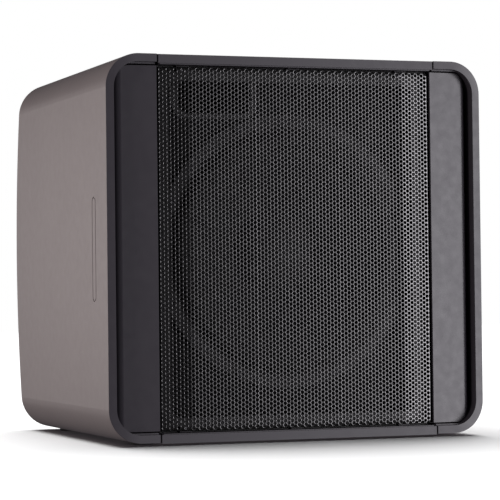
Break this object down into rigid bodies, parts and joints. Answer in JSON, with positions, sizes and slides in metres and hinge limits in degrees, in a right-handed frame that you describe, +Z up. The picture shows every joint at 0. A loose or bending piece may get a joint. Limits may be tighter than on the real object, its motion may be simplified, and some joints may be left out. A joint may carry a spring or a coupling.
{
  "type": "subwoofer",
  "caption": "Compact ported loudspeaker subwoofer: wrap-around sleeve with arched back, folded perforated grille, long-throw woofer, slot port and recessed rear terminals.",
  "frame": {"origin": "on the floor under the middle of the cabinet, feet included", "axes": "+X across the front to the right as seen from the front, +Y from the grille to the back, +Z up"},
  "size_m": [0.375, 0.343, 0.36],
  "materials": {
    "sleeve": "satin moulded shell, fine grain",
    "back_panel": "fine moulded texture",
    "trim": "satin moulded trim",
    "cheek": "satin moulded trim",
    "perforated_steel": "black satin powder coat",
    "black_plastic": "moulded",
    "terminal_plastic": "moulded, fine grain",
    "baffle_board": "black sealed fibreboard",
    "rubber": "matt rubber",
    "black_screw": "black oxide",
    "zinc_screw": "zinc plated",
    "basket": "black textured coat",
    "plated_steel": "zinc plated",
    "ferrite": "ground ferrite",
    "cone_paper": "coated pulp",
    "former": "polyimide film",
    "copper": "enamelled copper",
    "spider_cloth": "resin-dipped cloth",
    "brass": "gold plated brass",
    "red_plastic": "moulded",
    "black_cap_plastic": "moulded",
    "switch_body": "moulded",
    "circuit_board": "solder mask",
    "capacitor_film": "shrink sleeve",
    "lamination": "varnished laminations",
    "winding": "taped winding",
    "lead_red": "insulated wire",
    "lead_black": "insulated wire",
    "wadding": "polyester wadding"
  },
  "bodies": {
    "root": {"cabinet_shell": "sleeve", "rear_panel": "back_panel", "rear_panel_screws": "black_screw", "bracket_inserts": "brass", "rubber_feet": "rubber", "front_baffle": "baffle_board", "baffle_screws": "black_screw", "port_flare": "black_plastic", "port_tube": "black_plastic", "bezel_left": "trim", "bezel_right": "trim", "bezel_screws": "zinc_screw", "cheek_panel_left": "cheek", "cheek_panel_right": "cheek", "grille_cups": "rubber", "woofer_gasket": "rubber", "woofer_basket": "basket", "woofer_screws": "black_screw", "woofer_terminals": "brass", "top_plate": "plated_steel", "magnet": "ferrite", "pole_yoke": "plated_steel", "magnet_boot": "rubber", "surround": "rubber", "spider": "spider_cloth", "terminal_tray": "terminal_plastic", "tray_screws": "black_screw", "post_shafts": "brass", "post_collars": "terminal_plastic", "post_nuts": "brass", "tap_switch": "switch_body", "tap_nut": "zinc_screw", "crossover_board": "circuit_board", "board_standoffs": "brass", "crossover_inductor": "copper", "crossover_capacitors": "capacitor_film", "transformer_core": "lamination", "transformer_winding": "winding", "transformer_screws": "zinc_screw", "terminal_leads": "lead_red", "woofer_leads": "lead_black", "damping_wadding": "wadding"},
    "grille": {"grille_mesh": "perforated_steel", "grille_carrier": "black_plastic", "grille_top_rail": "trim", "grille_bottom_rail": "trim", "rail_screws": "zinc_screw", "grille_studs": "black_plastic"},
    "cone_assembly": {"cone": "cone_paper", "dust_cap": "cone_paper", "coil_former": "former", "voice_coil": "copper"},
    "tap_selector": {"tap_shaft": "zinc_screw", "tap_knob": "black_plastic"},
    "red_clamp": {"red_washer": "brass"},
    "red_terminal": {"red_cap": "red_plastic"},
    "black_clamp": {"black_washer": "brass"},
    "black_terminal": {"black_cap": "black_cap_plastic"}
  },
  "joints": [
    {"name": "grille_pull", "type": "slide", "parent": "root", "child": "grille", "axis": [0, -1, 0], "range_m": [0, 0.025]},
    {"name": "woofer_stroke", "type": "slide", "parent": "root", "child": "cone_assembly", "axis": [0, -1, 0], "range_m": [-0.008, 0.008], "stiffness_N_per_m": 2500, "deforming": ["surround", "spider"]},
    {"name": "tap_turn", "type": "hinge", "parent": "root", "child": "tap_selector", "pos_m": [0.03, 0.144, 0.1815], "axis": [0, 1, 0], "range_deg": [0, 150]},
    {"name": "red_lift", "type": "slide", "parent": "root", "child": "red_clamp", "axis": [0, 1, 0], "range_m": [0, 0.003]},
    {"name": "red_turn", "type": "hinge", "parent": "red_clamp", "child": "red_terminal", "pos_m": [-0.016, 0.144, 0.1815], "axis": [0, 1, 0], "range_deg": [0, 1080.5]},
    {"name": "black_lift", "type": "slide", "parent": "root", "child": "black_clamp", "axis": [0, 1, 0], "range_m": [0, 0.003]},
    {"name": "black_turn", "type": "hinge", "parent": "black_clamp", "child": "black_terminal", "pos_m": [-0.03505, 0.144, 0.1815], "axis": [0, 1, 0], "range_deg": [0, 1080.5]}
  ],
  "couplings": [
    {"joint": "red_turn", "follows": "red_lift", "rad_per_m": 6283.2},
    {"joint": "black_turn", "follows": "black_lift", "rad_per_m": 6283.2}
  ]
}
